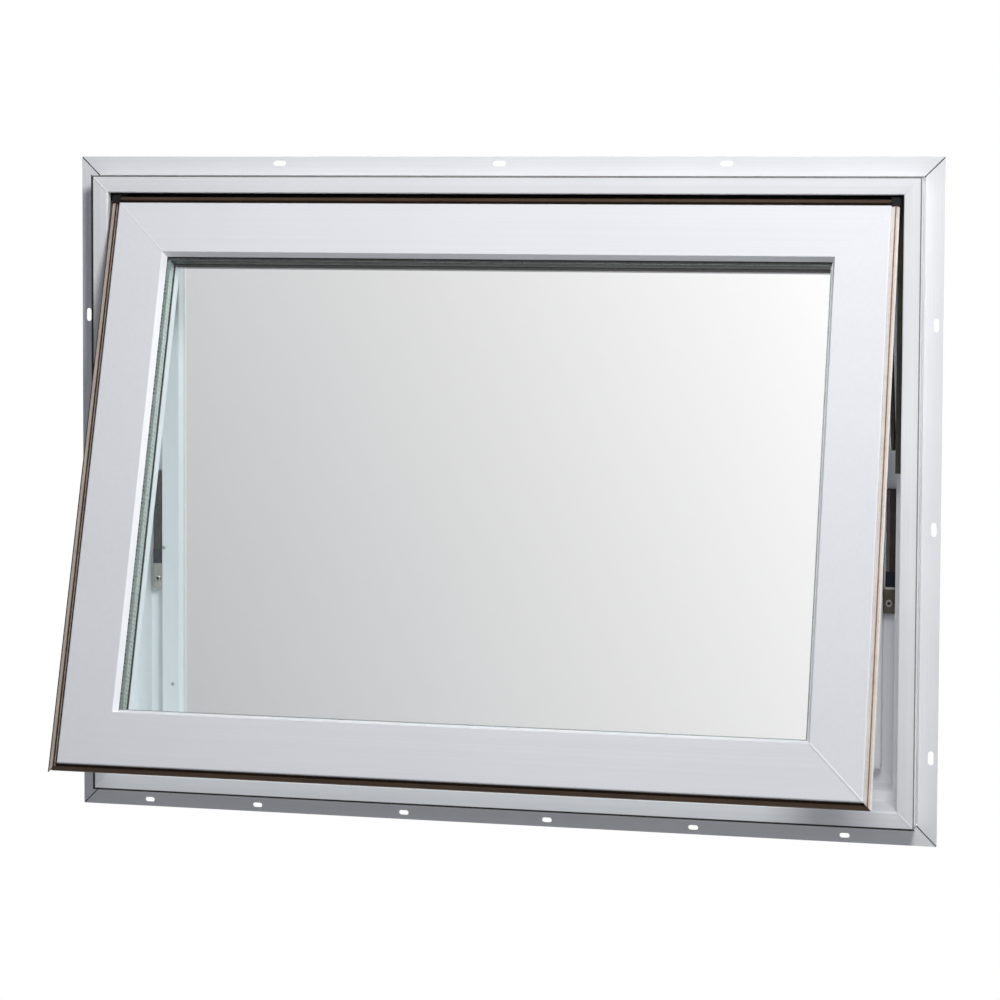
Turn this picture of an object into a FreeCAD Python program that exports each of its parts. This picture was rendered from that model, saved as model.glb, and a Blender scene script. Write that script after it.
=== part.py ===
import FreeCAD, Part
import math
import os

# Top hung awning window in a flanged vinyl frame, millimetres, +Z up, -Y is the outdoor side.
# Y = 0 is the back face of the nailing fins, Z = 0 is the nail line of the bottom fin.

# Frame body
BODY_W = 806.45
BODY_H = 603.25
FRAME_FRONT = 25.5          # frame front ahead of the fin's back face
FRAME_DEPTH = 104.8
LIP_W = 15.5                # front face of the frame
FACE_BREAK = 8.0            # the front face is flat inside this line
FACE_FALL = 0.6             # and falls back this far at the body edge
STEP_DEPTH = 56.0           # front face to the inner step, along the wall that carries the stays
STEP_U = 25.0               # body edge to the side of the pocket behind the step
POCKET_WALL = 7.8           # pocket back to the indoor face
RIDGE_U = 40.0
RIDGE_RISE = 19.8           # ridge front to the indoor face
INNER_U = 58.5
EDGE_BREAK = 1.0            # broken edges of the extrusions

# Nailing fins
FIN_T = 1.6
FIN_WIDTH = 20.0
FIN_LINE = 2.0              # open groove between fin and frame
FIN_STEP = 4.0              # the tongue lies this far behind the fin
FIN_TONGUE = 3.5
GROOVE_DEPTH = 4.0
GROOVE_PLAY = 0.2
FIN_MITRE_GAP = 0.8
NAIL_LINE = 13.5            # slot centres outside the frame body
SLOT_W = 5.2
SLOT_L = 13.0
SILL_SLOT_W = 4.6
SILL_SLOT_L = 9.6
HEAD_SLOTS = (-0.272, 0.0, 0.272)                                # share of the body width
SILL_SLOTS = (-0.439, -0.3, -0.115, 0.062, 0.239, 0.418)         # share of the body width
JAMB_SLOTS = (0.275, -0.04, -0.395)                              # share of the body height

# Sash
SASH_GAP = 11.2             # frame lip to sash face edge
SASH_PROUD = 4.0            # sash face ahead of the frame front when closed
SASH_DEPTH = 48.0
FACE_W = 50.0
REVEAL_W = 2.5
REVEAL_DEPTH = 9.0
FLANGE_T = 12.0
FLANGE_REACH = 12.5
REBATE_DEPTH = 10.0
REBATE_U = 40.0

# Sealed glass unit
PANE_T = 3.0
SPACER_DEPTH = 10.0
GLASS_PLAY = 0.2
PANE_U = 42.0
SPACER_U = 45.0
SPACER_SIGHT = 55.0
BEAD_SIGHT = 54.5
BEAD_LEDGE = 16.0

# Seals
SEAL_REACH = 6.2
SEAL_LINE = 2.8             # open groove between sash edge and seal lip
SEAL_SEAT = 7.0
SEAL_FRONT = 1.0
SEAL_TIP = 2.4
SEAL_BACK = 10.0

# Friction stays
OPEN_DEG = 18.0
ARM_SPAN = 104.0            # pin to pin, the same on both arms
PIVOT_DEPTH = 37.0          # frame front to the pins when closed
PIVOT_DROP = 12.0           # sash top edge to the shoe pin
TRACK_W = 15.0
TRACK_H = 8.0
TRACK_T = 1.6
TRACK_TOP_PLAY = 2.5
TRACK_TAIL = 28.0           # fixed pin to the track's lower end
ARM_T = 3.0
ARM_W = 14.0
SASH_ARM_TAIL = 60.0
PIN_R = 3.5
PIN_PLAY = 0.3
SHOE_W = 10.0
SHOE_H = 3.6
SHOE_LIFT = 0.6
SHOE_UP = 6.0
SHOE_DOWN = 36.0
ARM_LIFT = 1.2              # track lips to the support arm

# Lock bars on the back of the frame pocket
LOCK_U = 29.0
LOCK_W = 8.5
LOCK_T = 6.0
LOCK_TOP = 7.0              # above mid height
LOCK_LENGTH = 95.5
LOCK_END_W = 10.5
LOCK_END_T = 7.5
LOCK_END_LENGTH = 24.0

CUT_PAST = 1.0              # cutters run past the faces they cut

# Derived sizes
SASH_W = BODY_W - 2 * (LIP_W + SASH_GAP)
SASH_H = BODY_H - 2 * (LIP_W + SASH_GAP)
CENTRE_Z = BODY_H / 2 + NAIL_LINE
SASH_FRONT_Y = -FRAME_FRONT - SASH_PROUD
FRAME_FRONT_Y = -FRAME_FRONT
PIVOT_Y = PIVOT_DEPTH - FRAME_FRONT
SHOE_PIN_Z = CENTRE_Z + SASH_H / 2 - PIVOT_DROP
ELBOW_Z = SHOE_PIN_Z - ARM_SPAN
FIXED_PIN_Z = ELBOW_Z - ARM_SPAN
SHOE_FALL = 2 * ARM_SPAN * (1 - math.cos(math.radians(OPEN_DEG)))
WALL_X = BODY_W / 2 - LIP_W
POCKET_DEPTH = FRAME_DEPTH - POCKET_WALL
RIDGE_DEPTH = FRAME_DEPTH - RIDGE_RISE
STAY_SPACE = SASH_GAP + FLANGE_REACH
ARM_BASE = TRACK_H + ARM_LIFT
ARM_TOP = ARM_BASE + ARM_T
PANE_FRONT = REBATE_DEPTH + GLASS_PLAY
PANE_BACK = PANE_FRONT + 2 * PANE_T + SPACER_DEPTH
SIDES = ("head", "sill", "left", "right")
HANDS = (("left", -1), ("right", 1))


def vec(x, y, z):
    return FreeCAD.Vector(x, y, z)


def side_point(side, half_w, half_h, u, along, y):
    # A point u inside the named edge of a rectangle, at a place along that edge
    if side == "head":
        return vec(-along, y, CENTRE_Z + half_h - u)
    if side == "sill":
        return vec(along, y, CENTRE_Z - half_h + u)
    if side == "left":
        return vec(-half_w + u, y, CENTRE_Z + along)
    return vec(half_w - u, y, CENTRE_Z - along)


def polygon_face(points):
    return Part.Face(Part.makePolygon(points + [points[0]]))


def mitred_bar(side, width, height, section, front_y, gap=0.0):
    # One side of a mitred rectangle; section points are (inward, depth) pairs
    half_w = width / 2
    half_h = height / 2
    half = half_w if side in ("head", "sill") else half_h
    ends = []
    for sign in (-1, 1):
        ends.append([side_point(side, half_w, half_h, u, sign * (half - u - gap), front_y + d)
                     for u, d in section])
    count = len(section)
    faces = [polygon_face(ends[0]), polygon_face(ends[1])]
    for i in range(count):
        j = (i + 1) % count
        faces.append(polygon_face([ends[0][i], ends[0][j], ends[1][j], ends[1][i]]))
    return Part.makeSolid(Part.Shell(faces))


def box(x0, x1, y0, y1, z0, z1):
    return Part.makeBox(x1 - x0, y1 - y0, z1 - z0, vec(x0, y0, z0))


def wall_box(hand, w0, w1, y0, y1, z0, z1):
    # A box between two heights above the stay wall of one jamb
    xs = sorted((hand * (WALL_X - w0), hand * (WALL_X - w1)))
    return box(xs[0], xs[1], y0, y1, z0, z1)


def wall_pin(hand, w0, w1, radius, z):
    # A round pin standing off the stay wall of one jamb
    return Part.makeCylinder(radius, w1 - w0, vec(hand * (WALL_X - w0), PIVOT_Y, z), vec(-hand, 0, 0))


def rounded_bar(hand, w0, w1, z0, z1):
    # A flat bar with round ends; z0 and z1 are the centres of the ends
    half = ARM_W / 2
    bar = wall_box(hand, w0, w1, PIVOT_Y - half, PIVOT_Y + half, z0, z1)
    return bar.fuse(wall_pin(hand, w0, w1, half, z0)).fuse(wall_pin(hand, w0, w1, half, z1)).removeSplitter()


def opened(shape):
    # Sash pieces are drawn closed, then swung open about the shoe pins, which slide down
    shape.rotate(vec(0, PIVOT_Y, SHOE_PIN_Z), vec(1, 0, 0), -OPEN_DEG)
    shape.translate(vec(0, 0, -SHOE_FALL))
    return shape


def slot_cutter(x, z, along_x, length=SLOT_L, width=SLOT_W):
    # A round ended nail slot through a fin
    run = length - width
    cutter = None
    for sign in (-1, 1):
        at = vec(x + sign * run / 2, -2 * FIN_T, z) if along_x else vec(x, -2 * FIN_T, z + sign * run / 2)
        end = Part.makeCylinder(width / 2, 3 * FIN_T, at, vec(0, 1, 0))
        cutter = end if cutter is None else cutter.fuse(end)
    half_x = run / 2 if along_x else width / 2
    half_z = width / 2 if along_x else run / 2
    return cutter.fuse(box(x - half_x, x + half_x, -2 * FIN_T, FIN_T, z - half_z, z + half_z))


def frame_section():
    groove_0 = FRAME_FRONT + FIN_STEP - FIN_T - GROOVE_PLAY
    groove_1 = FRAME_FRONT + FIN_STEP + GROOVE_PLAY
    e = EDGE_BREAK
    return [(FACE_BREAK, 0), (LIP_W - e, 0), (LIP_W, e), (LIP_W, STEP_DEPTH), (STEP_U, STEP_DEPTH),
            (STEP_U, POCKET_DEPTH), (RIDGE_U, POCKET_DEPTH), (RIDGE_U, RIDGE_DEPTH + e),
            (RIDGE_U + e, RIDGE_DEPTH), (INNER_U - e, RIDGE_DEPTH), (INNER_U, RIDGE_DEPTH + e),
            (INNER_U, FRAME_DEPTH - e), (INNER_U - e, FRAME_DEPTH), (0, FRAME_DEPTH),
            (0, groove_1), (GROOVE_DEPTH, groove_1), (GROOVE_DEPTH, groove_0), (0, groove_0), (0, FACE_FALL)]


def sash_section():
    e = EDGE_BREAK
    return [(e, 0), (FACE_W, 0), (FACE_W + REVEAL_W, REVEAL_DEPTH), (FACE_W + REVEAL_W, REBATE_DEPTH),
            (REBATE_U, REBATE_DEPTH), (REBATE_U, SASH_DEPTH - e), (REBATE_U - e, SASH_DEPTH),
            (FLANGE_REACH + e, SASH_DEPTH), (FLANGE_REACH, SASH_DEPTH - e), (FLANGE_REACH, FLANGE_T),
            (0, FLANGE_T), (0, e)]


def bead_section(back):
    # back is the depth of the inner pane's rear face
    front = back + GLASS_PLAY
    rear = SASH_DEPTH
    slope = BEAD_LEDGE / 2
    return [(REBATE_U, front), (BEAD_SIGHT, front), (BEAD_SIGHT, front + BEAD_LEDGE),
            (BEAD_SIGHT - slope, rear), (REBATE_U, rear)]


def ring(u0, u1, d0, d1):
    # A rectangular ring in the sash, between two insets and two depths
    y0 = SASH_FRONT_Y + d0
    outer = box(-SASH_W / 2 + u0, SASH_W / 2 - u0, y0, y0 + d1 - d0,
                CENTRE_Z - SASH_H / 2 + u0, CENTRE_Z + SASH_H / 2 - u0)
    if u1 is None:
        return outer
    return outer.cut(box(-SASH_W / 2 + u1, SASH_W / 2 - u1, y0 - CUT_PAST, y0 + d1 - d0 + CUT_PAST,
                         CENTRE_Z - SASH_H / 2 + u1, CENTRE_Z + SASH_H / 2 - u1))


def nail_fin(side):
    edge_u = -FIN_WIDTH
    leg_u = -FIN_LINE - FIN_T
    section = [(edge_u, -FIN_T), (-FIN_LINE, -FIN_T), (-FIN_LINE, FIN_STEP - FIN_T),
               (FIN_TONGUE, FIN_STEP - FIN_T), (FIN_TONGUE, FIN_STEP), (leg_u, FIN_STEP), (leg_u, 0), (edge_u, 0)]
    fin = mitred_bar(side, BODY_W, BODY_H, section, 0, FIN_MITRE_GAP)
    if side == "head":
        for share in HEAD_SLOTS:
            fin = fin.cut(slot_cutter(share * BODY_W, CENTRE_Z + BODY_H / 2 + NAIL_LINE, True))
    elif side == "sill":
        for share in SILL_SLOTS:
            fin = fin.cut(slot_cutter(share * BODY_W, CENTRE_Z - BODY_H / 2 - NAIL_LINE, True,
                                      SILL_SLOT_L, SILL_SLOT_W))
    else:
        x = (BODY_W / 2 + NAIL_LINE) * (1 if side == "right" else -1)
        for share in JAMB_SLOTS:
            fin = fin.cut(slot_cutter(x, CENTRE_Z + share * BODY_H, False))
    return fin


def hinge_track(hand):
    top = CENTRE_Z + BODY_H / 2 - LIP_W - TRACK_TOP_PLAY
    low = FIXED_PIN_Z - TRACK_TAIL
    half = TRACK_W / 2
    track = wall_box(hand, 0, TRACK_H, PIVOT_Y - half, PIVOT_Y + half, low, top)
    track = track.cut(wall_box(hand, TRACK_T, TRACK_H + CUT_PAST, PIVOT_Y - half + TRACK_T,
                               PIVOT_Y + half - TRACK_T, low - CUT_PAST, top + CUT_PAST))
    return track.fuse(wall_pin(hand, TRACK_T, ARM_TOP, PIN_R, FIXED_PIN_Z))


def pocket_block(hand, width, thick, z0, z1):
    # A block on the back of the jamb pocket
    xs = sorted((hand * (BODY_W / 2 - LOCK_U), hand * (BODY_W / 2 - LOCK_U - width)))
    back = FRAME_FRONT_Y + POCKET_DEPTH
    return box(xs[0], xs[1], back - thick, back, CENTRE_Z + z0, CENTRE_Z + z1)


def support_arm(hand):
    arm = rounded_bar(hand, ARM_BASE, ARM_TOP, FIXED_PIN_Z, ELBOW_Z)
    arm = arm.cut(wall_pin(hand, 0, STAY_SPACE, PIN_R + PIN_PLAY, FIXED_PIN_Z))
    arm = arm.fuse(wall_pin(hand, ARM_TOP, STAY_SPACE - PIN_PLAY, PIN_R, ELBOW_Z))
    arm.rotate(vec(0, PIVOT_Y, FIXED_PIN_Z), vec(1, 0, 0), OPEN_DEG)
    return arm


def sash_arm(hand):
    arm = rounded_bar(hand, STAY_SPACE - ARM_T, STAY_SPACE, ELBOW_Z - SASH_ARM_TAIL, SHOE_PIN_Z)
    for z in (SHOE_PIN_Z, ELBOW_Z):
        arm = arm.cut(wall_pin(hand, 0, STAY_SPACE + CUT_PAST, PIN_R + PIN_PLAY, z))
    return opened(arm)


def shoe(hand):
    base = TRACK_T + SHOE_LIFT
    block = wall_box(hand, base, base + SHOE_H, PIVOT_Y - SHOE_W / 2, PIVOT_Y + SHOE_W / 2,
                     SHOE_PIN_Z - SHOE_DOWN, SHOE_PIN_Z + SHOE_UP)
    block = block.fuse(wall_pin(hand, base + SHOE_H, STAY_SPACE - PIN_PLAY, PIN_R, SHOE_PIN_Z))
    block.translate(vec(0, 0, -SHOE_FALL))
    return block


pieces = {}
side_names = {"head": "head", "sill": "sill", "left": "jamb_left", "right": "jamb_right"}
sash_names = {"head": "top_rail", "sill": "bottom_rail", "left": "stile_left", "right": "stile_right"}
edge_names = {"head": "top", "sill": "bottom", "left": "left", "right": "right"}
seal_section = [(0, SEAL_SEAT), (-SEAL_LINE, SEAL_SEAT), (-SEAL_LINE, SEAL_FRONT), (-SEAL_REACH, SEAL_TIP),
                (-SEAL_REACH, SEAL_BACK - EDGE_BREAK), (EDGE_BREAK - SEAL_REACH, SEAL_BACK), (0, SEAL_BACK)]

for side in SIDES:
    edge = edge_names[side]
    pieces["frame_" + side_names[side]] = mitred_bar(side, BODY_W, BODY_H, frame_section(), FRAME_FRONT_Y)
    pieces["nail_fin_" + edge] = nail_fin(side)
    pieces["sash_" + sash_names[side]] = opened(
        mitred_bar(side, SASH_W, SASH_H, sash_section(), SASH_FRONT_Y))
    pieces["sash_seal_" + edge] = opened(mitred_bar(side, SASH_W, SASH_H, seal_section, SASH_FRONT_Y))
    pieces["glazing_bead_" + edge] = opened(
        mitred_bar(side, SASH_W, SASH_H, bead_section(PANE_BACK), SASH_FRONT_Y))

pieces["outer_pane"] = opened(ring(PANE_U, None, PANE_FRONT, PANE_FRONT + PANE_T))
pieces["spacer_bar"] = opened(ring(SPACER_U, SPACER_SIGHT, PANE_FRONT + PANE_T, PANE_BACK - PANE_T))
pieces["inner_pane"] = opened(ring(PANE_U, None, PANE_BACK - PANE_T, PANE_BACK))

for name, hand in HANDS:
    pieces["hinge_track_" + name] = hinge_track(hand)
    pieces["lock_bar_" + name] = pocket_block(hand, LOCK_W, LOCK_T, LOCK_TOP - LOCK_LENGTH, LOCK_TOP)
    pieces["lock_end_" + name] = pocket_block(
        hand, LOCK_END_W, LOCK_END_T, LOCK_TOP - LOCK_LENGTH - LOCK_END_LENGTH, LOCK_TOP - LOCK_LENGTH)
    pieces["support_arm_" + name] = support_arm(hand)
    pieces["sash_arm_" + name] = sash_arm(hand)
    pieces["shoe_" + name] = shoe(hand)

os.makedirs("parts", exist_ok=True)
for name, shape in pieces.items():
    shape.exportStep("parts/" + name + ".step")
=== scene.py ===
import math

import bmesh
import bpy
from mathutils import Matrix, Vector


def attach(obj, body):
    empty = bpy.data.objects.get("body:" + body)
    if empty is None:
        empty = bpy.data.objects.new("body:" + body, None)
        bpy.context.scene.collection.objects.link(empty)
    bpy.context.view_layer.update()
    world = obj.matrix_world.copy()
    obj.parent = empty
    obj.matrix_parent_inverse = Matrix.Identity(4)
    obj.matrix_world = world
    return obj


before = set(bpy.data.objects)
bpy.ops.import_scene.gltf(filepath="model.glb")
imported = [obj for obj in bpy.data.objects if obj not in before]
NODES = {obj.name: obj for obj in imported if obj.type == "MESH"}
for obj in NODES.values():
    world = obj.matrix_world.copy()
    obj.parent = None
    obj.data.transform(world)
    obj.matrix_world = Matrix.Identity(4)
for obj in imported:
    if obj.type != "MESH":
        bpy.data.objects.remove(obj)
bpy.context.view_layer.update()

SCENE = bpy.context.scene

# Sizes repeated from the construction, metres
MM = 0.001
BODY_W, BODY_H = 0.80645, 0.60325
CENTRE_Z = 0.315125
FRAME_FRONT_Y = -0.0255
FACE_BREAK, FACE_FALL, LIP_W = 0.008, 0.0006, 0.0155
STEP_U, STEP_Y, RIDGE_Y = 0.025, 0.0305, 0.0595
FIN_FRONT_Y, FIN_WIDTH = -0.0016, 0.020
SASH_W, SASH_H = 0.75305, 0.54985
SASH_FRONT_Y = -0.0295
FACE_W, REVEAL_W, REVEAL_DEPTH = 0.050, 0.0025, 0.009
PANE_BACK, BEAD_SIGHT, BEAD_LEDGE = 0.0262, 0.0545, 0.016
OPEN = math.radians(18.0)
SHOE_PIN = Vector((0.0, 0.0115, 0.57805))
SHOE_FALL = 0.0101802
PIVOT_Y, FIXED_PIN_Z = 0.0115, 0.37005
ARM_TOP, TRACK_FLOOR = 0.0122, 0.0016
LOCK_SCREW_U, LOCK_SCREW_Z, LOCK_END_FRONT_Y = 0.03425, 0.2126, 0.064
LOCK_BAR_U, LOCK_BAR_W, LOCK_BAR_FRONT_Y = 0.029, 0.0085, 0.0655
LOCK_BAR_Z = (0.226625, 0.322125)

# Places worked out from them
WALL_X = BODY_W / 2 - LIP_W
LIP_TOP = CENTRE_Z + BODY_H / 2 - LIP_W
STEP_TOP = CENTRE_Z + BODY_H / 2 - STEP_U
FRAME_HALF = (BODY_W / 2, BODY_H / 2)
SASH_HALF = (SASH_W / 2, SASH_H / 2)
HANDS = (("left", -1), ("right", 1))
CORNERS = (("top_left", -1, 1), ("top_right", 1, 1), ("bottom_left", -1, -1), ("bottom_right", 1, -1))
OUTDOORS = Vector((0.0, -1.0, 0.0))
WHITE = (1.0, 1.0, 1.0, 1.0)


# Shader nodes

def new_material(name):
    mat = bpy.data.materials.new(name)
    mat.use_nodes = True
    tree = mat.node_tree
    return mat, tree, tree.nodes["Principled BSDF"]


def add(tree, kind, **settings):
    node = tree.nodes.new("ShaderNode" + kind)
    for key, value in settings.items():
        setattr(node, key, value)
    return node


def link(tree, source, target):
    tree.links.new(source, target)


def coords(tree, scale=(1.0, 1.0, 1.0), rotation=(0.0, 0.0, 0.0)):
    # Object coordinates, turned and stretched
    place = add(tree, "TexCoord")
    mapping = add(tree, "Mapping")
    mapping.inputs["Rotation"].default_value = rotation
    mapping.inputs["Scale"].default_value = scale
    link(tree, place.outputs["Object"], mapping.inputs["Vector"])
    return mapping.outputs["Vector"]


def noise(tree, vector, scale, detail=2.0, rough=0.5):
    node = add(tree, "TexNoise")
    node.inputs["Scale"].default_value = scale
    node.inputs["Detail"].default_value = detail
    node.inputs["Roughness"].default_value = rough
    link(tree, vector, node.inputs["Vector"])
    return node.outputs["Fac"]


def math_node(tree, operation, a, b):
    node = add(tree, "Math", operation=operation)
    for socket, value in zip(node.inputs, (a, b)):
        if isinstance(value, (int, float)):
            socket.default_value = value
        else:
            link(tree, value, socket)
    return node.outputs[0]


def plus(tree, a, b):
    return math_node(tree, "ADD", a, b)


def times(tree, a, b):
    return math_node(tree, "MULTIPLY", a, b)


def larger(tree, a, b):
    return math_node(tree, "MAXIMUM", a, b)


def shared(tree, first, second, share):
    # Two noises in one, by the share of the first
    return plus(tree, times(tree, first, share), times(tree, second, 1.0 - share))


def ramp(tree, fac, stops):
    node = add(tree, "ValToRGB")
    elements = node.color_ramp.elements
    while len(elements) < len(stops):
        elements.new(0.5)
    for element, (at, colour) in zip(elements, stops):
        element.position = at
        element.color = (*colour, 1.0)
    link(tree, fac, node.inputs["Fac"])
    return node.outputs["Color"]


def map_range(tree, value, source, target, curve="LINEAR"):
    # A value carried from one range to another and held at its ends
    node = add(tree, "MapRange", interpolation_type=curve)
    for name, level in zip(("From Min", "From Max", "To Min", "To Max"), (*source, *target)):
        node.inputs[name].default_value = level
    link(tree, value, node.inputs["Value"])
    return node.outputs["Result"]


NOISE_MIDDLE = (0.3, 0.7)


def spread(tree, fac, low, high):
    # The middle of a noise spread over a range of values
    return map_range(tree, fac, NOISE_MIDDLE, (low, high))


def overlay(tree, fac, under, colour):
    # A plain colour laid over another one
    node = add(tree, "MixRGB")
    node.inputs["Color2"].default_value = (*colour, 1.0)
    link(tree, fac, node.inputs["Fac"])
    link(tree, under, node.inputs["Color1"])
    return node.outputs["Color"]


def mix_shader(tree, fac, first, second):
    node = add(tree, "MixShader")
    link(tree, fac, node.inputs["Fac"])
    link(tree, first, node.inputs[1])
    link(tree, second, node.inputs[2])
    return node.outputs["Shader"]


def split_xyz(tree, vector):
    node = add(tree, "SeparateXYZ")
    link(tree, vector, node.inputs["Vector"])
    return node.outputs["X"], node.outputs["Y"], node.outputs["Z"]


def seen_rays(tree):
    # 1 for what the viewer sees, straight, in a mirror or through glass; 0 for light on the object
    path = add(tree, "LightPath")
    seen = larger(tree, path.outputs["Is Camera Ray"], path.outputs["Is Glossy Ray"])
    return larger(tree, seen, path.outputs["Is Transmission Ray"])


def bump(tree, bsdf, height, strength, distance, invert=False):
    node = add(tree, "Bump", invert=invert)
    node.inputs["Strength"].default_value = strength
    node.inputs["Distance"].default_value = distance
    link(tree, height, node.inputs["Height"])
    link(tree, node.outputs["Normal"], bsdf.inputs["Normal"])


# Materials

ALONG_X = (1.6, 620.0, 620.0)
ALONG_Z = (620.0, 620.0, 1.6)
BRUSHED = (900.0, 900.0, 12.0)
EVEN = (240.0, 240.0, 240.0)
EVEN_FINE = (300.0, 300.0, 300.0)
UPRIGHT = (0.0, 0.0, 0.0)
TILTED = (OPEN, 0.0, 0.0)
SATIN, DULL = (0.34, 0.46), (0.4, 0.52)


def vinyl(name, dark, light, scale, turn, rough=SATIN):
    # Satin extruded vinyl: long die lines along the bar, cloudy tone, fine grain
    mat, tree, bsdf = new_material(name)
    lines = noise(tree, coords(tree, scale, turn), scale=1.0, detail=3.0, rough=0.6)
    clouds = noise(tree, coords(tree), scale=7.0, detail=3.0)
    grain = noise(tree, coords(tree), scale=1400.0, detail=1.0)
    tone = shared(tree, lines, clouds, share=0.55)
    relief = plus(tree, lines, times(tree, grain, 0.25))
    link(tree, ramp(tree, tone, ((0.3, dark), (0.68, light))), bsdf.inputs["Base Color"])
    link(tree, spread(tree, lines, *rough), bsdf.inputs["Roughness"])
    bump(tree, bsdf, relief, strength=0.16, distance=0.2 * MM)
    bsdf.inputs["IOR"].default_value = 1.5
    bsdf.inputs["Specular IOR Level"].default_value = 0.22
    return mat


def rubber(name, dark, light, rough=0.7, scale=EVEN, turn=UPRIGHT):
    # Extruded seal: fine ribs along its run and dusty patches
    mat, tree, bsdf = new_material(name)
    ribs = noise(tree, coords(tree, scale, turn), scale=1.0, detail=2.0, rough=0.7)
    dust = noise(tree, coords(tree), scale=24.0, detail=4.0, rough=0.65)
    tone = shared(tree, ribs, dust, share=0.5)
    link(tree, ramp(tree, tone, ((0.34, dark), (0.66, light))), bsdf.inputs["Base Color"])
    link(tree, spread(tree, dust, rough - 0.08, rough + 0.1), bsdf.inputs["Roughness"])
    bump(tree, bsdf, ribs, strength=0.3, distance=0.3 * MM)
    bsdf.inputs["Specular IOR Level"].default_value = 0.2
    return mat


def metal(name, dark, light, metallic, rough):
    # Rolled metal: brush marks along its length, stains and small scratches
    mat, tree, bsdf = new_material(name)
    brush = noise(tree, coords(tree, BRUSHED), scale=1.0, detail=3.0, rough=0.65)
    stain = noise(tree, coords(tree), scale=55.0, detail=4.0, rough=0.6)
    tone = shared(tree, brush, stain, share=0.45)
    link(tree, ramp(tree, tone, ((0.32, dark), (0.68, light))), bsdf.inputs["Base Color"])
    link(tree, spread(tree, tone, rough - 0.1, rough + 0.12), bsdf.inputs["Roughness"])
    bsdf.inputs["Metallic"].default_value = metallic
    bump(tree, bsdf, brush, strength=0.2, distance=0.2 * MM)
    return mat


SPACER_DARK, SPACER_LIGHT, SPACER_HOLE = (0.29, 0.33, 0.31), (0.40, 0.45, 0.425), (0.05, 0.058, 0.05)
SPACER_GRAIN, HOLES_PER_METRE, HOLE_STRAY = (500.0, 500.0, 500.0), 240.0, 0.12
HOLE_RIM = (0.2, 0.34)


def spacer_metal(name):
    # Roll formed spacer with rows of breathing holes
    mat, tree, bsdf = new_material(name)
    brush = noise(tree, coords(tree, SPACER_GRAIN, TILTED), scale=1.0, detail=2.0)
    holes = add(tree, "TexVoronoi", feature="F1")
    holes.inputs["Scale"].default_value = HOLES_PER_METRE
    holes.inputs["Randomness"].default_value = HOLE_STRAY
    link(tree, coords(tree, rotation=TILTED), holes.inputs["Vector"])
    dots = map_range(tree, holes.outputs["Distance"], HOLE_RIM, (1.0, 0.0))
    base = ramp(tree, brush, ((0.3, SPACER_DARK), (0.7, SPACER_LIGHT)))
    link(tree, overlay(tree, dots, base, SPACER_HOLE), bsdf.inputs["Base Color"])
    link(tree, spread(tree, brush, 0.38, 0.55), bsdf.inputs["Roughness"])
    bsdf.inputs["Metallic"].default_value = 0.35
    bump(tree, bsdf, dots, strength=0.4, distance=0.4 * MM, invert=True)
    return mat


# Painted shade on the pane, standing in for a reflected gradient: its slopes across and up, where it starts
# and how cloudy it is
PAINTED_SHADE_ACROSS, PAINTED_SHADE_UP, PAINTED_SHADE_START, PAINTED_SHADE_CLOUD = 1.06, 0.62, 0.255, 0.03
PAINTED_SHADE_STOPS = ((0.0, (0.836, 0.840, 0.846)), (0.5, (0.926, 0.926, 0.927)), (0.9, (0.997, 0.997, 0.997)))
# Clearer wedge, where the painted shade gives way: how its edge slants and leans, and where the edge lies
WEDGE_SLANT, WEDGE_LEAN, WEDGE_EDGE = 0.10876, 0.33472, (-0.3205, -0.3145)
WEDGE_TINT, SOFT_TINT, MIRROR_TINT = (0.972, 0.9965, 0.996), (0.985, 0.992, 0.99), (0.97, 0.985, 0.98)
# Mirror: its share at grazing angles, how steeply it grows, its least share and its roughness
MIRROR_EDGE, MIRROR_POWER, MIRROR_LEAST, MIRROR_ROUGH = 0.9, 5.0, 0.014, (0.0, 0.05)


def glass(name):
    # Clear coated pane: a thin sheet that mirrors by angle, with a painted grey shade standing in for a
    # reflected gradient, darkest at the lower left and clear towards the upper right
    mat, tree, bsdf = new_material(name)
    tree.nodes.remove(bsdf)
    turned = coords(tree, rotation=TILTED)
    x, y, z = split_xyz(tree, turned)
    fade = plus(tree, plus(tree, times(tree, x, PAINTED_SHADE_ACROSS), times(tree, z, PAINTED_SHADE_UP)), PAINTED_SHADE_START)
    cloud = times(tree, noise(tree, turned, scale=3.0, detail=2.0), PAINTED_SHADE_CLOUD)
    painted_tint = ramp(tree, plus(tree, fade, cloud), PAINTED_SHADE_STOPS)
    # A clearer wedge beside the left stile, where the painted shade gives way to a near-clear tint
    past = plus(tree, plus(tree, x, times(tree, z, WEDGE_SLANT)), times(tree, y, WEDGE_LEAN))
    painted_tint = overlay(tree, map_range(tree, past, WEDGE_EDGE, (1.0, 0.0), "SMOOTHSTEP"), painted_tint, WEDGE_TINT)
    # Light that falls through the pane is hardly tinted, so the painted shade darkens only what is seen
    # through it
    rays = add(tree, "LightPath")
    soft = larger(tree, rays.outputs["Is Shadow Ray"], rays.outputs["Is Diffuse Ray"])
    clear = add(tree, "BsdfTransparent")
    link(tree, overlay(tree, soft, painted_tint, SOFT_TINT), clear.inputs["Color"])
    mirror = add(tree, "BsdfGlossy")
    mirror.inputs["Color"].default_value = (*MIRROR_TINT, 1.0)
    smear = noise(tree, turned, scale=40.0, detail=3.0)
    link(tree, spread(tree, smear, *MIRROR_ROUGH), mirror.inputs["Roughness"])
    angle = add(tree, "LayerWeight")
    edge = math_node(tree, "POWER", angle.outputs["Facing"], MIRROR_POWER)
    share = plus(tree, times(tree, edge, MIRROR_EDGE), MIRROR_LEAST)
    pane = mix_shader(tree, share, clear.outputs["BSDF"], mirror.outputs["BSDF"])
    link(tree, pane, tree.nodes["Material Output"].inputs["Surface"])
    return mat


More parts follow.
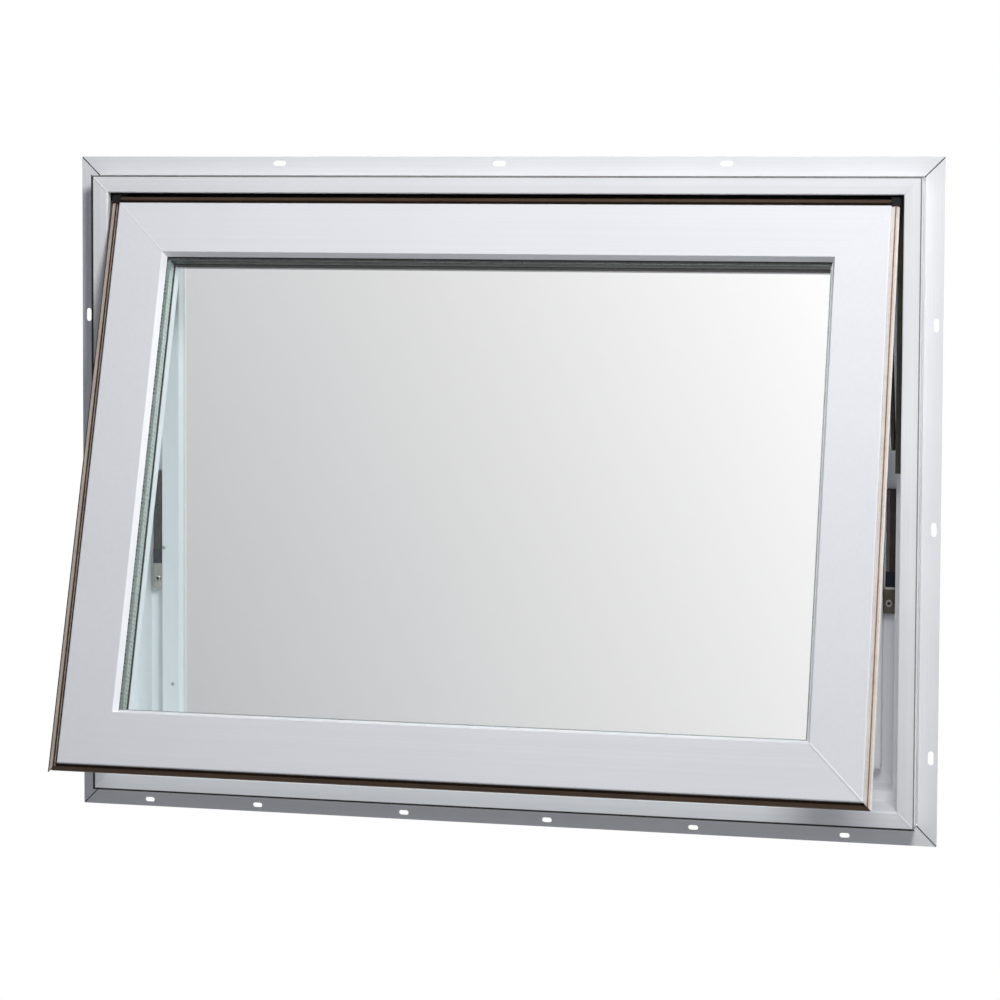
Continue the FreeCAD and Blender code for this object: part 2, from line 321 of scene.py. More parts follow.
FRAME_TONES = ((0.83, 0.835, 0.855), (0.90, 0.905, 0.92))
FIN_TONES = ((0.80, 0.805, 0.825), (0.87, 0.875, 0.89))
SASH_TONES = ((0.83, 0.84, 0.865), (0.89, 0.895, 0.92))
TAN_TONES = ((0.60, 0.50, 0.42), (0.78, 0.70, 0.62))
# Dark brown of painted shade, for the seal runs and grooves that lie in shade
SEAL_SHADE_TONES = ((0.04, 0.024, 0.015), (0.095, 0.062, 0.04))

MATS = {
    "frame_x": vinyl("frame_vinyl_x", *FRAME_TONES, ALONG_X, UPRIGHT),
    "frame_z": vinyl("frame_vinyl_z", *FRAME_TONES, ALONG_Z, UPRIGHT),
    "fin_x": vinyl("fin_vinyl_x", *FIN_TONES, ALONG_X, UPRIGHT, DULL),
    "fin_z": vinyl("fin_vinyl_z", *FIN_TONES, ALONG_Z, UPRIGHT, DULL),
    "sash_x": vinyl("sash_vinyl_x", *SASH_TONES, ALONG_X, TILTED),
    "sash_z": vinyl("sash_vinyl_z", *SASH_TONES, ALONG_Z, TILTED),
    # The top and bottom seal runs take the painted shade brown; the side runs take the tan
    "seal_shade_x": rubber("seal_painted_shade_x", *SEAL_SHADE_TONES, scale=ALONG_X, turn=TILTED),
    "tan_z": rubber("tan_seal_z", *TAN_TONES, scale=ALONG_Z, turn=TILTED),
    # Dark rubber of the gaskets and joints, also laid as painted shade on the shaded joint lines and the top
    # tape
    "joint": rubber("dark_seal", (0.014, 0.012, 0.012), (0.06, 0.052, 0.05), 0.6),
    # Black rubber of the head strip, also laid as painted shade in the corner pads and the seal corners
    "black": rubber("black_seal_and_painted_shade", (0.003, 0.003, 0.003), (0.013, 0.012, 0.012)),
    # Lit and shaded copies of the seal tones for the strips: pale as painted light, rose as a thin line of
    # painted shade
    "seal_painted_light": rubber("seal_painted_light", (0.72, 0.66, 0.60), (0.86, 0.82, 0.77)),
    "seal_rose_painted_shade": rubber("seal_rose_painted_shade", (0.20, 0.13, 0.11), (0.36, 0.26, 0.22)),
    "spacer_painted_shade": rubber("spacer_painted_shade", (0.008, 0.012, 0.010), (0.035, 0.045, 0.04), 0.5, EVEN_FINE),
    "brown": rubber("seal_painted_shade", *SEAL_SHADE_TONES),
    "line": rubber("joint_shade_line", (0.17, 0.165, 0.16), (0.30, 0.29, 0.285), 0.6),
    "stay_dark": metal("stay_dark", (0.009, 0.007, 0.007), (0.03, 0.025, 0.024), 0.4, 0.45),
    "track": metal("track_olive", (0.016, 0.0155, 0.011), (0.05, 0.048, 0.034), 0.35, 0.5),
    "lock_bar": metal("lock_maroon", (0.012, 0.007, 0.008), (0.045, 0.03, 0.03), 0.3, 0.45),
    "lock_rail": metal("lock_rail", (0.075, 0.055, 0.05), (0.16, 0.125, 0.115), 0.3, 0.45),
    "lock_cap": rubber("lock_cap", (0.004, 0.004, 0.01), (0.016, 0.016, 0.03), 0.4, EVEN_FINE),
    "lock_brown": metal("lock_brown", (0.045, 0.04, 0.03), (0.13, 0.115, 0.09), 0.55, 0.42),
    "stay_steel": metal("stay_steel", (0.30, 0.275, 0.25), (0.55, 0.52, 0.48), 0.9, 0.38),
    "shoe": rubber("shoe_plastic", (0.02, 0.018, 0.018), (0.06, 0.055, 0.052), 0.5, EVEN_FINE),
    "spacer": spacer_metal("spacer"),
    "glass": glass("clear_glass"),
}


# Carried over nodes: finish, and the width in millimetres of their broken edges

FINISHES = (
    ("frame_x", 0.5, ("frame_head", "frame_sill")),
    ("frame_z", 0.5, ("frame_jamb_left", "frame_jamb_right")),
    ("sash_x", 0.6, ("sash_top_rail", "sash_bottom_rail", "glazing_bead_top", "glazing_bead_bottom")),
    ("sash_z", 0.6, ("sash_stile_left", "sash_stile_right", "glazing_bead_left", "glazing_bead_right")),
    ("fin_x", None, ("nail_fin_top", "nail_fin_bottom")),
    ("fin_z", None, ("nail_fin_left", "nail_fin_right")),
    ("seal_shade_x", 0.4, ("sash_seal_top", "sash_seal_bottom")),
    ("tan_z", 0.4, ("sash_seal_left", "sash_seal_right")),
    ("track", 0.3, ("hinge_track_left", "hinge_track_right")),
    ("stay_dark", 0.3, ("sash_arm_left", "sash_arm_right", "support_arm_left", "support_arm_right")),
    ("shoe", 0.5, ("shoe_left", "shoe_right")),
    ("lock_bar", 0.5, ("lock_bar_left", "lock_bar_right")),
    ("stay_steel", 0.5, ("lock_end_left",)),
    ("lock_brown", 0.5, ("lock_end_right",)),
    ("glass", None, ("outer_pane", "inner_pane")),
    ("spacer", None, ("spacer_bar",)),
)
WELD_REACH = 0.01 * MM
EDGE_STEPS, EDGE_ANGLE = 2, math.radians(28.0)


def dress(node, material, edge):
    node.data.materials.clear()
    node.data.materials.append(material)
    if edge is None:
        return
    weld = node.modifiers.new("weld", "WELD")
    weld.merge_threshold = WELD_REACH
    bevel = node.modifiers.new("edge", "BEVEL")
    bevel.width = edge * MM
    bevel.segments = EDGE_STEPS
    bevel.limit_method = "ANGLE"
    bevel.angle_limit = EDGE_ANGLE
    bevel.use_clamp_overlap = True
    bevel.harden_normals = True


for key, edge, names in FINISHES:
    for name in names:
        dress(NODES[name], MATS[key], edge)


# Tools for added pieces

SHARP = math.radians(35.0)
TURNS = 40


def opened(point):
    # A point of the closed sash, swung to where the sash stands open
    turned = Matrix.Rotation(-OPEN, 3, "X") @ (Vector(point) - SHOE_PIN)
    return turned + SHOE_PIN - Vector((0.0, 0.0, SHOE_FALL))


def piece(name, made, body, key):
    verts, faces = made
    mesh = bpy.data.meshes.new(name)
    mesh.from_pydata([tuple(v) for v in verts], [], faces)
    mesh.validate()
    skin = bmesh.new()
    skin.from_mesh(mesh)
    bmesh.ops.recalc_face_normals(skin, faces=skin.faces)
    skin.to_mesh(mesh)
    skin.free()
    mesh.shade_smooth()
    mesh.set_sharp_from_angle(angle=SHARP)
    mesh.materials.append(MATS[key])
    obj = bpy.data.objects.new(name, mesh)
    SCENE.collection.objects.link(obj)
    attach(obj, body)


def skinned(rings):
    # A closed skin over rings of points, with both ends capped
    count = len(rings[0])
    verts = [point for ring in rings for point in ring]
    faces = []
    for i in range(len(rings) - 1):
        low, high = i * count, (i + 1) * count
        for j in range(count):
            k = (j + 1) % count
            faces.append((low + j, low + k, high + k, high + j))
    faces.append(tuple(range(count)))
    faces.append(tuple(range(len(verts) - count, len(verts))))
    return verts, faces


def swept(path, sides, section):
    # A closed section of (across, up) pairs along a path of (point, up) pairs
    return skinned([[point + sides * across + up * rise for across, rise in section] for point, up in path])


def angles_round(count):
    return [2 * math.pi * i / count for i in range(count)]


def circle(axis):
    # Unit directions round an axis
    right = axis.orthogonal().normalized()
    ahead = axis.cross(right)
    return [right * math.cos(angle) + ahead * math.sin(angle) for angle in angles_round(TURNS)]


def lathe(centre, axis, profile):
    # A profile of (radius, height) pairs in millimetres turned about an axis
    axis = Vector(axis).normalized()
    return skinned([[centre + way * (radius * MM) + axis * (height * MM) for way in circle(axis)]
                    for radius, height in profile])


RING = ((-1, -1), (1, -1), (1, 1), (-1, 1))
EDGES = ("bottom", "right", "top", "left")


def band(half_w, half_h, section, place, edge):
    # A section of (inward, depth) pairs along one mitred edge of a rectangle
    first = EDGES.index(edge)
    corners = (RING[first], RING[(first + 1) % len(RING)])
    return skinned([[place((sx * (half_w - u), d, CENTRE_Z + sz * (half_h - u))) for u, d in section]
                    for sx, sz in corners])


def section_mm(front, pairs):
    # Section points given in millimetres, inside an edge and behind a front
    return [(inside * MM, front + behind * MM) for inside, behind in pairs]


def joined(parts):
    verts, faces = [], []
    for more_verts, more_faces in parts:
        start = len(verts)
        verts += more_verts
        faces += [tuple(i + start for i in face) for face in more_faces]
    return verts, faces


# Weld lines over the mitres

# The faces that they follow, as (inward, behind the front) pairs
FRAME_FACE = ((0.8 * MM, FACE_FALL - 0.15 * MM), (FACE_BREAK, 0.0), (LIP_W - 1.0 * MM, 0.0),
              (LIP_W, 1.0 * MM), (LIP_W, 20.0 * MM))
SASH_FACE = ((1.0 * MM, 0.0), (FACE_W / 2, 0.0), (FACE_W, 0.0), (FACE_W + REVEAL_W, REVEAL_DEPTH))
# Half width and rise of the lines
FAINT = (0.6 * MM, 0.15 * MM)
PLAIN = (0.8 * MM, 0.28 * MM)
PROUD = (1.2 * MM, 0.45 * MM)
# Where a line's top breaks, as shares of those
SHOULDER, CROWN = 0.55, 0.8
# How much of the way inward counts as facing out
LEAN = 0.3


def weld_line(sx, sz, size, front_y, profile, place, half, rise):
    # The raised line of a welded mitre, over the front of a corner
    sides = Vector((sx, 0.0, -sz)).normalized()
    outward = OUTDOORS + Vector((-sx, 0.0, -sz)) * LEAN
    points = [Vector((sx * (size[0] - u), front_y + d, CENTRE_Z + sz * (size[1] - u))) for u, d in profile]
    path = []
    for i, point in enumerate(points):
        ahead = points[min(i + 1, len(points) - 1)] - points[max(i - 1, 0)]
        up = sides.cross(ahead).normalized()
        path.append((point, -up if up.dot(outward) < 0 else up))
    shoulder, crown = half * SHOULDER, rise * CROWN
    section = [(-half, -rise), (-half, 0.0), (-shoulder, crown), (0.0, rise), (shoulder, crown),
               (half, 0.0), (half, -rise)]
    verts, faces = swept(path, sides, section)
    return [place(v) for v in verts], faces


for corner, sx, sz in CORNERS:
    made = weld_line(sx, sz, FRAME_HALF, FRAME_FRONT_Y, FRAME_FACE, Vector, *PLAIN)
    piece("frame_weld_" + corner, made, "frame", "frame_x")
    bead = PROUD if corner == "bottom_right" else FAINT
    made = weld_line(sx, sz, SASH_HALF, SASH_FRONT_Y, SASH_FACE, opened, *bead)
    piece("sash_weld_" + corner, made, "sash", "sash_x")


# Dark lines between the frame and its fins: a joint, with painted shade in it

# How far out they reach, in millimetres, and their tone: dark painted shade on the left and bottom, a lighter
# grey on the top and right
JOINT_SHADE_LINES = (("top", 1.3, "line"), ("right", 0.8, "line"), ("left", 2.0, "joint"), ("bottom", 1.5, "joint"))
LINE_FRONT = FRAME_FRONT_Y + FACE_FALL - 0.1 * MM
LINE_INSIDE, LINE_DEPTH = 0.25, 1.6

for edge, out, key in JOINT_SHADE_LINES:
    line = section_mm(LINE_FRONT, ((LINE_INSIDE, 0.0), (-0.6 * out, 0.05), (-out, 0.4), (-out, LINE_DEPTH),
                                   (LINE_INSIDE, LINE_DEPTH)))
    piece("frame_joint_shade_line_" + edge, band(*FRAME_HALF, line, Vector, edge), "frame", key)


# Strips in the seal round the sash

# The sides differ as lit and shaded copies: on the right a pale floor and flap of painted light and a thin
# rose line of painted shade, on the left a dark groove, rib and tip of painted shade and a tan flap. The top
# and bottom grooves are dark brown painted shade. Points are in millimetres, inside the sash edge and behind
# its front.
GROOVE = ((0.2, 6.4), (-2.9, 6.4), (-2.9, 7.2), (0.2, 7.2))
SEAL_STRIPS = (
    ("top", "groove", "brown", GROOVE),
    ("bottom", "groove", "brown", GROOVE),
    ("left", "groove", "brown", ((0.2, 6.0), (-2.9, 6.0), (-2.9, 7.2), (0.2, 7.2))),
    ("left", "rib", "brown", ((-2.7, 3.0), (-2.7, 1.0), (-2.9, 0.7), (-3.4, 0.75), (-3.7, 1.1), (-3.7, 3.0))),
    ("left", "flap", "tan_z", ((-5.6, 2.1), (-7.0, 2.7), (-7.7, 3.1), (-8.0, 3.6), (-7.9, 4.2), (-7.0, 4.6),
                               (-5.6, 4.9))),
    ("left", "tip", "brown", ((-7.4, 2.6), (-8.2, 3.0), (-8.6, 3.7), (-8.3, 4.4), (-7.4, 4.4))),
    ("right", "groove", "seal_painted_light", ((0.2, 2.6), (-0.6, 2.3), (-3.2, 2.0), (-3.2, 7.2), (0.2, 7.2))),
    ("right", "rib", "seal_rose_painted_shade", ((-3.1, 2.6), (-3.2, 0.9), (-3.5, 0.7), (-4.0, 0.75), (-4.3, 1.2),
                                   (-4.3, 2.6))),
    ("right", "flap", "seal_painted_light", ((-5.6, 2.1), (-6.6, 2.5), (-7.1, 3.0), (-7.2, 3.6), (-7.0, 4.2),
                                    (-6.4, 4.6), (-5.6, 4.9))),
)
for edge, part, key, points in SEAL_STRIPS:
    made = band(*SASH_HALF, section_mm(SASH_FRONT_Y, points), opened, edge)
    slot = "dark_seal" if key == "brown" else "tan_seal"
    piece("sash_seal_" + part + "_" + edge, made, "sash", key)

# Black corner blocks of painted shade, in millimetres: ends and bend of the outline, then each ring's depth
# and share of the outline
SHADE_BLOCK_LOW, SHADE_BLOCK_REACH, SHADE_BLOCK_BEND, SHADE_BLOCK_STEPS = -0.6, 8.2, 3.0, 6
SHADE_BLOCK_RINGS = ((6.5, 1.0), (1.1, 1.0), (0.6, 0.9))


def seal_corner_shade(sx):
    # A black block of painted shade where two runs of the seal meet at the top of the sash
    hub = SHADE_BLOCK_REACH - SHADE_BLOCK_BEND
    turn = [math.pi / 2 * i / SHADE_BLOCK_STEPS for i in range(SHADE_BLOCK_STEPS + 1)]
    outline = [(SHADE_BLOCK_LOW, SHADE_BLOCK_LOW), (SHADE_BLOCK_LOW, SHADE_BLOCK_REACH),
               *[(hub + SHADE_BLOCK_BEND * math.sin(angle), hub + SHADE_BLOCK_BEND * math.cos(angle)) for angle in turn],
               (SHADE_BLOCK_REACH, SHADE_BLOCK_LOW)]
    middle = (SHADE_BLOCK_REACH + SHADE_BLOCK_LOW) / 2
    rings = []
    for behind, keep in SHADE_BLOCK_RINGS:
        ring = [(middle + (out - middle) * keep, middle + (over - middle) * keep) for out, over in outline]
        rings.append([opened((sx * (SASH_HALF[0] + out * MM), SASH_FRONT_Y + behind * MM,
                              CENTRE_Z + SASH_HALF[1] + over * MM)) for out, over in ring])
    return skinned(rings)


for hand, sign in HANDS:
    piece("seal_corner_shade_" + hand, seal_corner_shade(sign), "sash", "black")


# Seals of the glass unit, with painted shade at the top: a deep gasket, a spacer cover and a black tape

GASKET_FRONT = SASH_FRONT_Y + PANE_BACK + 0.05 * MM
# The top gasket runs on over the bead's underside as a dark lining of painted shade
GASKET_AND_SHADE_DEPTHS = (("top", 0.6 * BEAD_LEDGE), ("bottom", 2.4 * MM), ("left", 2.4 * MM), ("right", 2.4 * MM))
# In millimetres, inside the sash edge and behind its front: a dark cover of painted shade over the top
# spacer, and the glazing tapes
TOP_SPACER_SHADE = ((54.0, 13.3), (55.3, 13.3), (55.45, 14.0), (55.45, 22.4), (55.3, 23.1), (54.0, 23.1))
TAPE_START, TAPE_FRONT, TAPE_BACK = 51.5, 9.2, 10.15
# The top tape is black as painted shade; the bottom and right tapes are pale vinyl
TAPES = (("top", 53.6, "dark_seal", "joint"), ("bottom", 53.7, "sash_vinyl", "sash_x"),
         ("right", 53.4, "sash_vinyl", "sash_z"))


def gasket(depth):
    # The wedge gasket between the inner pane and the bead
    low, back = BEAD_SIGHT - 1.5 * MM, GASKET_FRONT + depth
    return [(low, GASKET_FRONT), (BEAD_SIGHT + 0.7 * MM, GASKET_FRONT),
            (BEAD_SIGHT + 0.9 * MM, GASKET_FRONT + 0.8 * MM), (BEAD_SIGHT + 0.5 * MM, back), (low, back)]


for edge, depth in GASKET_AND_SHADE_DEPTHS:
    made = band(*SASH_HALF, gasket(depth), opened, edge)
    piece("glazing_gasket_" + edge, made, "sash", "joint")

# A dark cover of painted shade on the top spacer, which faces down
made = band(*SASH_HALF, section_mm(SASH_FRONT_Y, TOP_SPACER_SHADE), opened, "top")
piece("spacer_top_painted_shade", made, "sash", "spacer_painted_shade")

for edge, sight, slot, key in TAPES:
    points = ((TAPE_START, TAPE_FRONT), (sight - 0.4, TAPE_FRONT + 0.1), (sight, TAPE_FRONT + 0.5),
              (sight, TAPE_BACK), (TAPE_START, TAPE_BACK))
    strip = section_mm(SASH_FRONT_Y, points)
    piece("glazing_tape_" + edge, band(*SASH_HALF, strip, opened, edge), "sash", key)


# Seals of the frame opening, and painted shade in its top corners

BULB_REACH, BULB_SEAT, BULB_RISE, BULB_STEPS = WALL_X - 0.5 * MM, STEP_Y + 0.1 * MM, 3.6 * MM, 12
BULB_TOP, BULB_LOW = LIP_TOP - 0.1 * MM, STEP_TOP + 0.4 * MM
BULB_STATIONS = (-1.0, -0.5, 0.0, 0.5, 1.0)
PAD_TOP, PAD_LOW = LIP_TOP - 0.2 * MM, LIP_TOP - 9.2 * MM
PAD_FRONT, PAD_BACK = FRAME_FRONT_Y + 8.0 * MM, STEP_Y - 0.5 * MM
PAD_OUTLINE = ((PAD_FRONT, PAD_TOP), (PAD_FRONT, PAD_LOW + 4.0 * MM),
               (PAD_FRONT + 1.5 * MM, PAD_LOW + 1.2 * MM), (PAD_FRONT + 4.5 * MM, PAD_LOW),
               (PAD_BACK, PAD_LOW), (PAD_BACK, PAD_TOP))
# Rise off the wall, and how far the outline is drawn in
PAD_RINGS = ((-0.2 * MM, 0.0), (0.9 * MM, 0.0), (1.3 * MM, 0.5 * MM))


def head_strip():
    # A dark bulb strip on the step of the head, from jamb to jamb
    middle, half_z = (BULB_TOP + BULB_LOW) / 2, (BULB_TOP - BULB_LOW) / 2
    turn = [math.pi * i / BULB_STEPS for i in range(BULB_STEPS + 1)]
    section = [(half_z * math.cos(angle), BULB_RISE * math.sin(angle)) for angle in turn]
    path = [(Vector((x * BULB_REACH, BULB_SEAT, middle)), OUTDOORS) for x in BULB_STATIONS]
    return swept(path, Vector((0.0, 0.0, 1.0)), section)


def corner_shade_pad(sign):
    # A black pad on the jamb wall, up in the corner under the head, as painted shade
    middle_y, middle_z = (PAD_FRONT + PAD_BACK) / 2, (PAD_TOP + PAD_LOW) / 2
    return skinned([[Vector((sign * (WALL_X - rise), y - math.copysign(shrink, y - middle_y),
                             z - math.copysign(shrink, z - middle_z))) for y, z in PAD_OUTLINE]
                    for rise, shrink in PAD_RINGS])


piece("head_weatherstrip", head_strip(), "frame", "black")
for hand, sign in HANDS:
    piece("corner_shade_pad_" + hand, corner_shade_pad(sign), "frame", "black")


# Butt lines of the fins

MITRE_HALF, MITRE_INNER, MITRE_OUTER = 0.4 * MM, 1.0 * MM, FIN_WIDTH - 0.4 * MM
MITRE_LOW, MITRE_HIGH = 0.2 * MM, -FIN_FRONT_Y - 0.15 * MM


def mitre_strip(sx, sz):
    # The dark line where two fins meet at a corner
    inner, outer = (Vector((sx * (BODY_W / 2 + out), 0.0, CENTRE_Z + sz * (BODY_H / 2 + out)))
                    for out in (MITRE_INNER, MITRE_OUTER))
    section = ((-MITRE_HALF, MITRE_LOW), (-MITRE_HALF, MITRE_HIGH), (0.0, MITRE_HIGH + 0.05 * MM),
               (MITRE_HALF, MITRE_HIGH), (MITRE_HALF, MITRE_LOW))
    path = [(point, OUTDOORS) for point in (inner, inner.lerp(outer, 0.5), outer)]
    return swept(path, Vector((sx, 0.0, -sz)).normalized(), section)


for corner, sx, sz in CORNERS:
    piece("fin_mitre_line_" + corner, mitre_strip(sx, sz), "frame", "joint")


# Screws, rivets and lock fittings

# The head's dome and cross, as shares of its radius and rise
SCREW_RINGS, DOME_POWER, RIM_SINK = 14, 5, 0.3
CROSS_HALF, CROSS_REACH, CROSS_DEPTH = 0.15, 0.55, 0.45
# Radius and rise of the heads; places in from the side and up, or above the fixed pin
RIDGE_SCREW, TRACK_SCREW = (1.8 * MM, 0.8 * MM), (3.2 * MM, 0.4 * MM)
RIDGE_SCREWS = ((0.0424, 0.2448), (0.0515, 0.1064), (0.0424, 0.49))
TRACK_SCREWS = (-0.018, 0.03, 0.1, 0.14)
# Turned profiles, as (radius, height) pairs in millimetres
LOCK_SCREW = ((1.5, -0.3), (1.5, 0.9), (1.9, 1.4), (2.6, 1.5), (3.2, 1.1), (3.5, 0.3), (3.5, -0.6))
LOCK_SCREW_CORE = ((1.55, -0.5), (1.55, 0.5), (1.2, 0.62), (0.4, 0.45))
RIVET = ((5.5, -0.3), (5.5, 0.3), (5.0, 0.9), (3.6, 1.3), (1.6, 1.35), (1.2, 0.9))
# Rounding of a bar's front edges, as shares of its size
BAR_LIP, BAR_NICK = 0.4, 0.3
# Ends of the lock's bars: in from the side, front and back, low and high
LOCK_BAR_END_U = LOCK_BAR_U + LOCK_BAR_W
CAP_Z = (LOCK_BAR_Z[0] + 1.5 * MM, LOCK_BAR_Z[0] + 16.5 * MM)
CAP_U = (LOCK_BAR_U - 0.4 * MM, LOCK_BAR_END_U + 0.6 * MM)
CAP_Y = (LOCK_BAR_FRONT_Y - 1.2 * MM, LOCK_BAR_FRONT_Y + 3.0 * MM)
RAIL_Z = (CAP_Z[1], LOCK_BAR_Z[1] - 1.0 * MM)
RAIL_U = (LOCK_BAR_END_U - 3.4 * MM, LOCK_BAR_END_U - 0.2 * MM)
RAIL_Y = (LOCK_BAR_FRONT_Y - 0.9 * MM, LOCK_BAR_FRONT_Y + 1.0 * MM)
CLIP_Z = (LOCK_BAR_Z[0] - 0.5 * MM, CAP_Z[0])
CLIP_U = (LOCK_BAR_U - 0.2 * MM, LOCK_BAR_END_U + 1.6 * MM)
CLIP_Y = (LOCK_END_FRONT_Y - 0.5 * MM, LOCK_END_FRONT_Y + 3.0 * MM)


def screw_head(centre, axis, radius, rise):
    # A pan head with a pressed rim and a cross recess, as one closed skin
    axis = Vector(axis).normalized()
    ways = circle(axis)
    verts = [centre + axis * (rise * (1.0 - CROSS_DEPTH))]
    for i in range(1, SCREW_RINGS + 1):
        share = i / SCREW_RINGS
        dome = rise * math.sqrt(1 - share ** DOME_POWER)
        for way, angle in zip(ways, angles_round(TURNS)):
            x, y = abs(share * math.cos(angle)), abs(share * math.sin(angle))
            crossed = min(x, y) < CROSS_HALF and max(x, y) < CROSS_REACH
            height = dome - rise * CROSS_DEPTH if crossed else dome
            verts.append(centre + way * (share * radius) + axis * height)
    verts += [centre + way * radius - axis * (rise * RIM_SINK) for way in ways]
    faces = []
    for j in range(TURNS):
        k = (j + 1) % TURNS
        faces.append((0, 1 + j, 1 + k))
        for i in range(SCREW_RINGS):
            a, b = 1 + i * TURNS, 1 + (i + 1) * TURNS
            faces.append((a + j, b + j, b + k, a + k))
    faces.append(tuple(range(len(verts) - TURNS, len(verts))))
    return verts, faces


def jamb_bar(sign, u_ends, y_ends, z_ends):
    # A bar with rounded front edges, upright against the back of a jamb pocket
    (u0, u1), (front, back), (z0, z1) = u_ends, y_ends, z_ends
    middle, half, deep = (u0 + u1) / 2, (u1 - u0) / 2, back - front
    lip = min(half, deep) * BAR_LIP
    nick = lip * BAR_NICK
    section = [(-half, 0.0), (-half, deep - lip), (-half + nick, deep - nick), (-half + lip, deep),
               (half - lip, deep), (half - nick, deep - nick), (half, deep - lip), (half, 0.0)]
    x = sign * (BODY_W / 2 - middle)
    path = [(Vector((x, back, z)), OUTDOORS) for z in (z0, (z0 + z1) / 2, z1)]
    return swept(path, Vector((1.0, 0.0, 0.0)), section)


for hand, sign in HANDS:
    inward = (-sign, 0, 0)
    ridge = [screw_head(Vector((sign * (BODY_W / 2 - u), RIDGE_Y, z)), OUTDOORS, *RIDGE_SCREW)
             for u, z in RIDGE_SCREWS]
    piece("jamb_screws_" + hand, joined(ridge), "frame", "stay_steel")
    end = Vector((sign * (BODY_W / 2 - LOCK_SCREW_U), LOCK_END_FRONT_Y, LOCK_SCREW_Z))
    piece("lock_screw_" + hand, lathe(end, OUTDOORS, LOCK_SCREW), "frame", "stay_steel")
    piece("lock_screw_core_" + hand, lathe(end, OUTDOORS, LOCK_SCREW_CORE), "frame", "lock_cap")
    rail_key = "lock_bar" if hand == "left" else "lock_rail"
    piece("lock_rail_" + hand, jamb_bar(sign, RAIL_U, RAIL_Y, RAIL_Z), "frame", rail_key)
    piece("lock_cap_" + hand, jamb_bar(sign, CAP_U, CAP_Y, CAP_Z), "frame", "lock_cap")
    piece("lock_clip_" + hand, jamb_bar(sign, CLIP_U, CLIP_Y, CLIP_Z), "frame", "stay_steel")
    track_x = sign * (WALL_X - TRACK_FLOOR)
    track = [screw_head(Vector((track_x, PIVOT_Y, FIXED_PIN_Z + z)), inward, *TRACK_SCREW)
             for z in TRACK_SCREWS]
    piece("track_screws_" + hand, joined(track), "frame", "stay_steel")
    pin = Vector((sign * (WALL_X - ARM_TOP), PIVOT_Y, FIXED_PIN_Z))
    piece("fixed_pin_head_" + hand, lathe(pin, inward, RIVET), "frame", "stay_steel")


# Camera at the photograph's viewing angle

YAW, PITCH, ROLL = 0.23541, 0.060447, -0.004791
FOCAL_PX, IMAGE_PX, SENSOR = 3052.1, 1000.0, 36.0
CAMERA_AT = (0.682818, -2.841277, 0.580902)
SHIFT_UP = -0.1

ahead = Vector((-math.sin(YAW) * math.cos(PITCH), math.cos(YAW) * math.cos(PITCH), -math.sin(PITCH)))
level = Vector((math.cos(YAW), math.sin(YAW), 0.0))
plumb = ahead.cross(level)
right = math.cos(ROLL) * level + math.sin(ROLL) * plumb
down = -math.sin(ROLL) * level + math.cos(ROLL) * plumb
camera_data = bpy.data.cameras.new("camera")
camera_data.sensor_width = SENSOR
camera_data.lens = FOCAL_PX * SENSOR / IMAGE_PX
camera_data.shift_y = SHIFT_UP
camera = bpy.data.objects.new("camera", camera_data)
camera.matrix_world = Matrix.Translation(CAMERA_AT) @ Matrix((right, -down, -ahead)).transposed().to_4x4()
SCENE.collection.objects.link(camera)
SCENE.camera = camera


# Lamps: place, aim, size in metres, power in watts

LAMPS = (
    ("key", (0.6, -1.25, 1.45), (-1.0, -0.05, 0.25), 0.6, 23.6),
    ("side", (2.2, -0.12, 0.4), (0.3, 0.0, 0.3), 0.5, 11.0),
    ("back", (0.9, 2.3, 0.6), (0.0, 0.1, 0.3), 0.9, 8.0),
)

for name, place, aim, size, power in LAMPS:
    lamp_data = bpy.data.lights.new(name, "AREA")
    lamp_data.shape = "DISK"
    lamp_data.size = size
    lamp_data.energy = power
    lamp = bpy.data.objects.new(name, lamp_data)
    lamp.location = place
    lamp.rotation_euler = (Vector(aim) - Vector(place)).to_track_quat("-Z", "Y").to_euler()
    SCENE.collection.objects.link(lamp)


# World: soft light by height, a wide brighter part on the indoor side, and white where it is seen

SKY_HEIGHTS = (-0.25, 0.8)
SKY_STOPS = ((0.0, (0.165, 0.172, 0.18)), (0.35, (0.165, 0.177, 0.205)), (1.0, (0.165, 0.177, 0.205)))
BEHIND, BEHIND_GLOW = (0.45, 0.88, 0.15), 0.62


def studio_world():
    world = bpy.data.worlds.new("studio")
    world.use_nodes = True
    tree = world.node_tree
    tree.nodes.clear()
    way = add(tree, "TexCoord").outputs["Generated"]
    height = map_range(tree, split_xyz(tree, way)[2], SKY_HEIGHTS, (0.0, 1.0))
    soft = add(tree, "Background")
    link(tree, ramp(tree, height, SKY_STOPS), soft.inputs["Color"])
    facing = add(tree, "VectorMath", operation="DOT_PRODUCT")
    link(tree, way, facing.inputs[0])
    facing.inputs[1].default_value = BEHIND
    rear = add(tree, "Background")
    rear.inputs["Color"].default_value = WHITE
    link(tree, times(tree, larger(tree, facing.outputs["Value"], 0.0), BEHIND_GLOW), rear.inputs["Strength"])
    both = add(tree, "AddShader")
    link(tree, soft.outputs["Background"], both.inputs[0])
    link(tree, rear.outputs["Background"], both.inputs[1])
    white = add(tree, "Background")
    white.inputs["Color"].default_value = WHITE
    shown = mix_shader(tree, seen_rays(tree), both.outputs["Shader"], white.outputs["Background"])
    link(tree, shown, add(tree, "OutputWorld").inputs["Surface"])
    return world


SCENE.world = studio_world()


# Floor

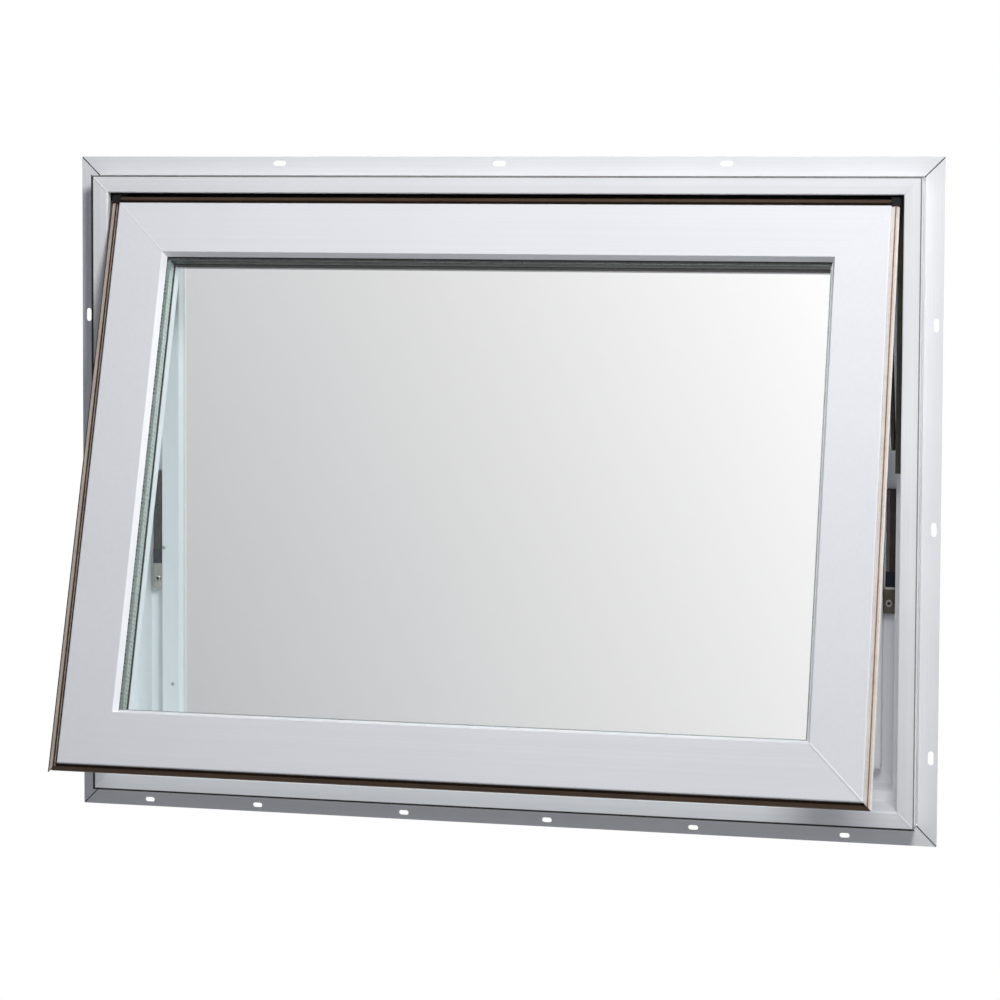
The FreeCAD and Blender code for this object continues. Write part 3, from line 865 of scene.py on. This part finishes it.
FLOOR_Z, FLOOR_Y, FLOOR_R, FLOOR_TURNS = -0.62, -0.4, 2.0, 96
FLOOR_STOPS = ((0.3, (0.42, 0.42, 0.42)), (0.7, (0.46, 0.46, 0.46)))
FLOOR_GLOW = 0.75
FLOOR_FADE = (FLOOR_R * 0.6, FLOOR_R * 0.97)


def floor_material():
    # Pale, lit up for the viewer alone, and faded to white at its rim
    mat, tree, bsdf = new_material("pale_floor")
    cloud = noise(tree, coords(tree), scale=1.5, detail=2.0)
    link(tree, ramp(tree, cloud, FLOOR_STOPS), bsdf.inputs["Base Color"])
    bsdf.inputs["Roughness"].default_value = 0.8
    bsdf.inputs["Specular IOR Level"].default_value = 0.1
    bsdf.inputs["Emission Color"].default_value = WHITE
    seen = seen_rays(tree)
    link(tree, times(tree, seen, FLOOR_GLOW), bsdf.inputs["Emission Strength"])
    away = add(tree, "VectorMath", operation="DISTANCE")
    link(tree, coords(tree), away.inputs[0])
    away.inputs[1].default_value = (0.0, FLOOR_Y, FLOOR_Z)
    rim = map_range(tree, away.outputs["Value"], FLOOR_FADE, (0.0, 1.0), "SMOOTHSTEP")
    blank = add(tree, "Emission")
    blank.inputs["Color"].default_value = WHITE
    faded = mix_shader(tree, times(tree, rim, seen), bsdf.outputs["BSDF"], blank.outputs["Emission"])
    link(tree, faded, tree.nodes["Material Output"].inputs["Surface"])
    return mat


def pale_floor():
    # A round floor well below the window, which takes its shadow
    verts = [(0.0, FLOOR_Y, FLOOR_Z)]
    verts += [(FLOOR_R * math.cos(angle), FLOOR_R * math.sin(angle) + FLOOR_Y, FLOOR_Z)
              for angle in angles_round(FLOOR_TURNS)]
    faces = [(0, 1 + i, 1 + (i + 1) % FLOOR_TURNS) for i in range(FLOOR_TURNS)]
    mesh = bpy.data.meshes.new("floor")
    mesh.from_pydata(verts, [], faces)
    mesh.materials.append(floor_material())
    obj = bpy.data.objects.new("floor", mesh)
    SCENE.collection.objects.link(obj)


pale_floor()

SCENE.view_settings.view_transform = "Standard"
